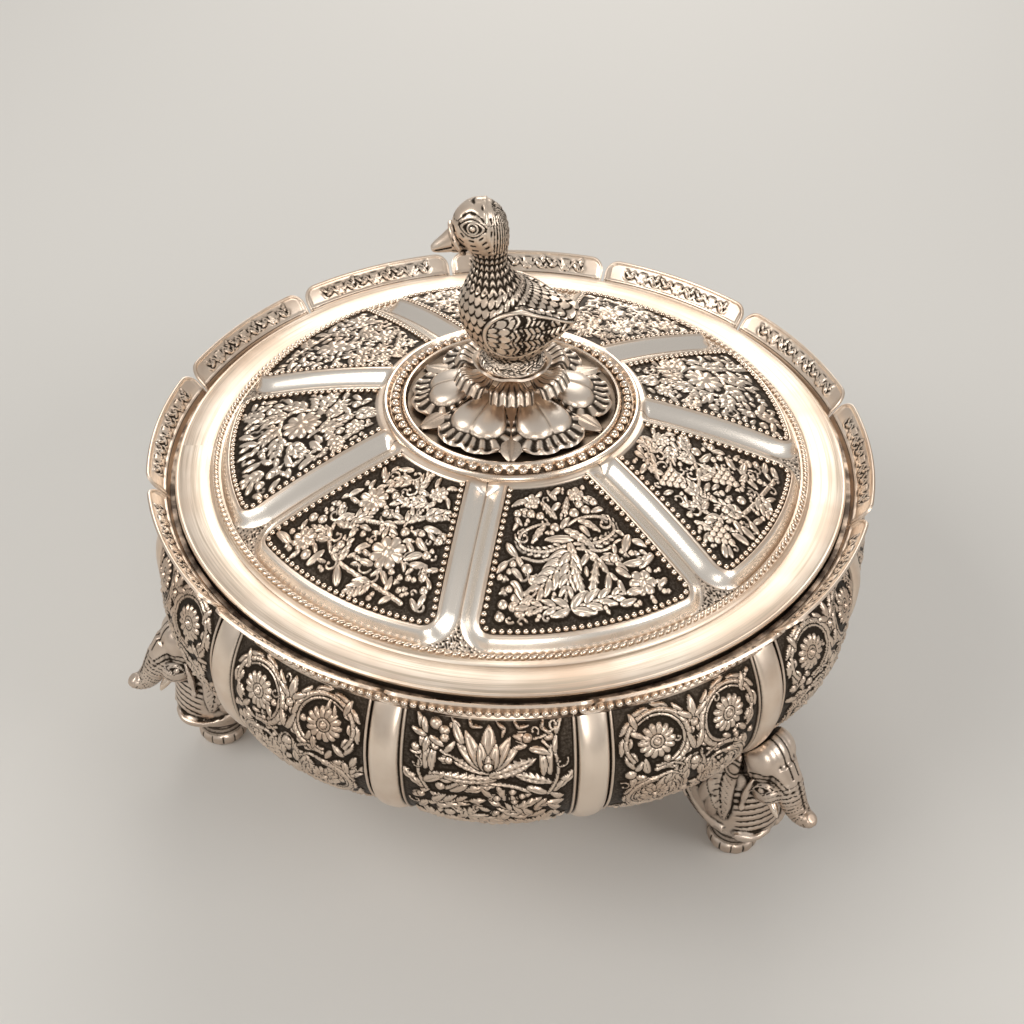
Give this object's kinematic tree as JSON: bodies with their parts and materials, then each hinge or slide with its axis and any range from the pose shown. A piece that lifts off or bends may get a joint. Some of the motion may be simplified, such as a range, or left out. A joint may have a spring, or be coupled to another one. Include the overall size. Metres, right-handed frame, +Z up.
{
  "type": "paan box",
  "caption": "Lobed silver box on elephant feet with a lift-off domed lid, a duck finial and an inner tray of lidded cups.",
  "frame": {"origin": "on the box's axis at the height of the table it stands on", "axes": "+Z up along the axis; -Y towards the viewer of the front lobe; the duck faces -X"},
  "size_m": [0.2642, 0.2655, 0.2133],
  "materials": {
    "raised_silver": "aged silver with raised foliage over dark matte grounds",
    "polished_silver": "silver, brushed round the axis and worn smooth",
    "gallery_silver": "silver with stamped flowers, darkened in the hollows",
    "wire_silver": "bright silver wire and beads, dark between",
    "duck_silver": "cast and chased silver, darkened in the cuts",
    "elephant_silver": "cast and chased silver, darkened in the cuts",
    "tray_silver": "plain silver sheet and wire",
    "cup_silver": "plain raised silver",
    "cup_lid_silver": "plain raised silver",
    "fixing_brass": "turned brass"
  },
  "bodies": {
    "bowl_body": {"bowl": "raised_silver", "mouth_ring": "polished_silver", "gallery": "gallery_silver", "bead_wire": "wire_silver", "foot_studs": "fixing_brass", "foot_nuts": "fixing_brass", "elephant_foot_right": "elephant_silver", "elephant_foot_back": "elephant_silver", "elephant_foot_left": "elephant_silver"},
    "lid": {"lid_border": "polished_silver", "lid_bezel": "polished_silver", "lid_dome": "raised_silver", "rope_wire": "wire_silver", "centre_ring": "polished_silver", "centre_beads": "wire_silver", "lower_lotus": "polished_silver", "upper_lotus": "gallery_silver", "collar": "gallery_silver", "duck": "duck_silver", "finial_stud": "fixing_brass", "finial_washer": "fixing_brass", "finial_nut": "fixing_brass"},
    "tray_body": {"tray": "tray_silver", "tray_loops": "tray_silver"},
    "cup_body_1": {"cup_1": "cup_silver"},
    "cup_lid_body_1": {"cup_lid_1": "cup_lid_silver", "cup_knob_1": "cup_lid_silver"},
    "cup_body_2": {"cup_2": "cup_silver"},
    "cup_lid_body_2": {"cup_lid_2": "cup_lid_silver", "cup_knob_2": "cup_lid_silver"},
    "cup_body_3": {"cup_3": "cup_silver"},
    "cup_lid_body_3": {"cup_lid_3": "cup_lid_silver", "cup_knob_3": "cup_lid_silver"},
    "cup_body_4": {"cup_4": "cup_silver"},
    "cup_lid_body_4": {"cup_lid_4": "cup_lid_silver", "cup_knob_4": "cup_lid_silver"},
    "cup_body_5": {"cup_5": "cup_silver"},
    "cup_lid_body_5": {"cup_lid_5": "cup_lid_silver", "cup_knob_5": "cup_lid_silver"},
    "cup_body_6": {"cup_6": "cup_silver"},
    "cup_lid_body_6": {"cup_lid_6": "cup_lid_silver", "cup_knob_6": "cup_lid_silver"},
    "cup_body_7": {"cup_7": "cup_silver"},
    "cup_lid_body_7": {"cup_lid_7": "cup_lid_silver", "cup_knob_7": "cup_lid_silver"}
  },
  "joints": [
    {"name": "lid_lift", "type": "slide", "parent": "bowl_body", "child": "lid", "axis": [0, 0, 1], "range_m": [0, 0.2]},
    {"name": "tray_lift", "type": "slide", "parent": "bowl_body", "child": "tray_body", "axis": [0, 0, 1], "range_m": [0, 0.09]},
    {"name": "cup_1_lift", "type": "slide", "parent": "tray_body", "child": "cup_body_1", "axis": [0, 0, 1], "range_m": [0, 0.035]},
    {"name": "cup_lid_1_lift", "type": "slide", "parent": "cup_body_1", "child": "cup_lid_body_1", "axis": [0, 0, 1], "range_m": [0, 0.025]},
    {"name": "cup_2_lift", "type": "slide", "parent": "tray_body", "child": "cup_body_2", "axis": [0, 0, 1], "range_m": [0, 0.035]},
    {"name": "cup_lid_2_lift", "type": "slide", "parent": "cup_body_2", "child": "cup_lid_body_2", "axis": [0, 0, 1], "range_m": [0, 0.025]},
    {"name": "cup_3_lift", "type": "slide", "parent": "tray_body", "child": "cup_body_3", "axis": [0, 0, 1], "range_m": [0, 0.035]},
    {"name": "cup_lid_3_lift", "type": "slide", "parent": "cup_body_3", "child": "cup_lid_body_3", "axis": [0, 0, 1], "range_m": [0, 0.025]},
    {"name": "cup_4_lift", "type": "slide", "parent": "tray_body", "child": "cup_body_4", "axis": [0, 0, 1], "range_m": [0, 0.035]},
    {"name": "cup_lid_4_lift", "type": "slide", "parent": "cup_body_4", "child": "cup_lid_body_4", "axis": [0, 0, 1], "range_m": [0, 0.025]},
    {"name": "cup_5_lift", "type": "slide", "parent": "tray_body", "child": "cup_body_5", "axis": [0, 0, 1], "range_m": [0, 0.035]},
    {"name": "cup_lid_5_lift", "type": "slide", "parent": "cup_body_5", "child": "cup_lid_body_5", "axis": [0, 0, 1], "range_m": [0, 0.025]},
    {"name": "cup_6_lift", "type": "slide", "parent": "tray_body", "child": "cup_body_6", "axis": [0, 0, 1], "range_m": [0, 0.035]},
    {"name": "cup_lid_6_lift", "type": "slide", "parent": "cup_body_6", "child": "cup_lid_body_6", "axis": [0, 0, 1], "range_m": [0, 0.025]},
    {"name": "cup_7_lift", "type": "slide", "parent": "tray_body", "child": "cup_body_7", "axis": [0, 0, 1], "range_m": [0, 0.035]},
    {"name": "cup_lid_7_lift", "type": "slide", "parent": "cup_body_7", "child": "cup_lid_body_7", "axis": [0, 0, 1], "range_m": [0, 0.025]}
  ],
  "couplings": [
    {"joint": "tray_lift", "follows": "lid_lift", "ratio": 0.45},
    {"joint": "cup_1_lift", "follows": "lid_lift", "ratio": 0.175},
    {"joint": "cup_lid_1_lift", "follows": "lid_lift", "ratio": 0.125},
    {"joint": "cup_2_lift", "follows": "lid_lift", "ratio": 0.175},
    {"joint": "cup_lid_2_lift", "follows": "lid_lift", "ratio": 0.125},
    {"joint": "cup_3_lift", "follows": "lid_lift", "ratio": 0.175},
    {"joint": "cup_lid_3_lift", "follows": "lid_lift", "ratio": 0.125},
    {"joint": "cup_4_lift", "follows": "lid_lift", "ratio": 0.175},
    {"joint": "cup_lid_4_lift", "follows": "lid_lift", "ratio": 0.125},
    {"joint": "cup_5_lift", "follows": "lid_lift", "ratio": 0.175},
    {"joint": "cup_lid_5_lift", "follows": "lid_lift", "ratio": 0.125},
    {"joint": "cup_6_lift", "follows": "lid_lift", "ratio": 0.175},
    {"joint": "cup_lid_6_lift", "follows": "lid_lift", "ratio": 0.125},
    {"joint": "cup_7_lift", "follows": "lid_lift", "ratio": 0.175},
    {"joint": "cup_lid_7_lift", "follows": "lid_lift", "ratio": 0.125}
  ]
}
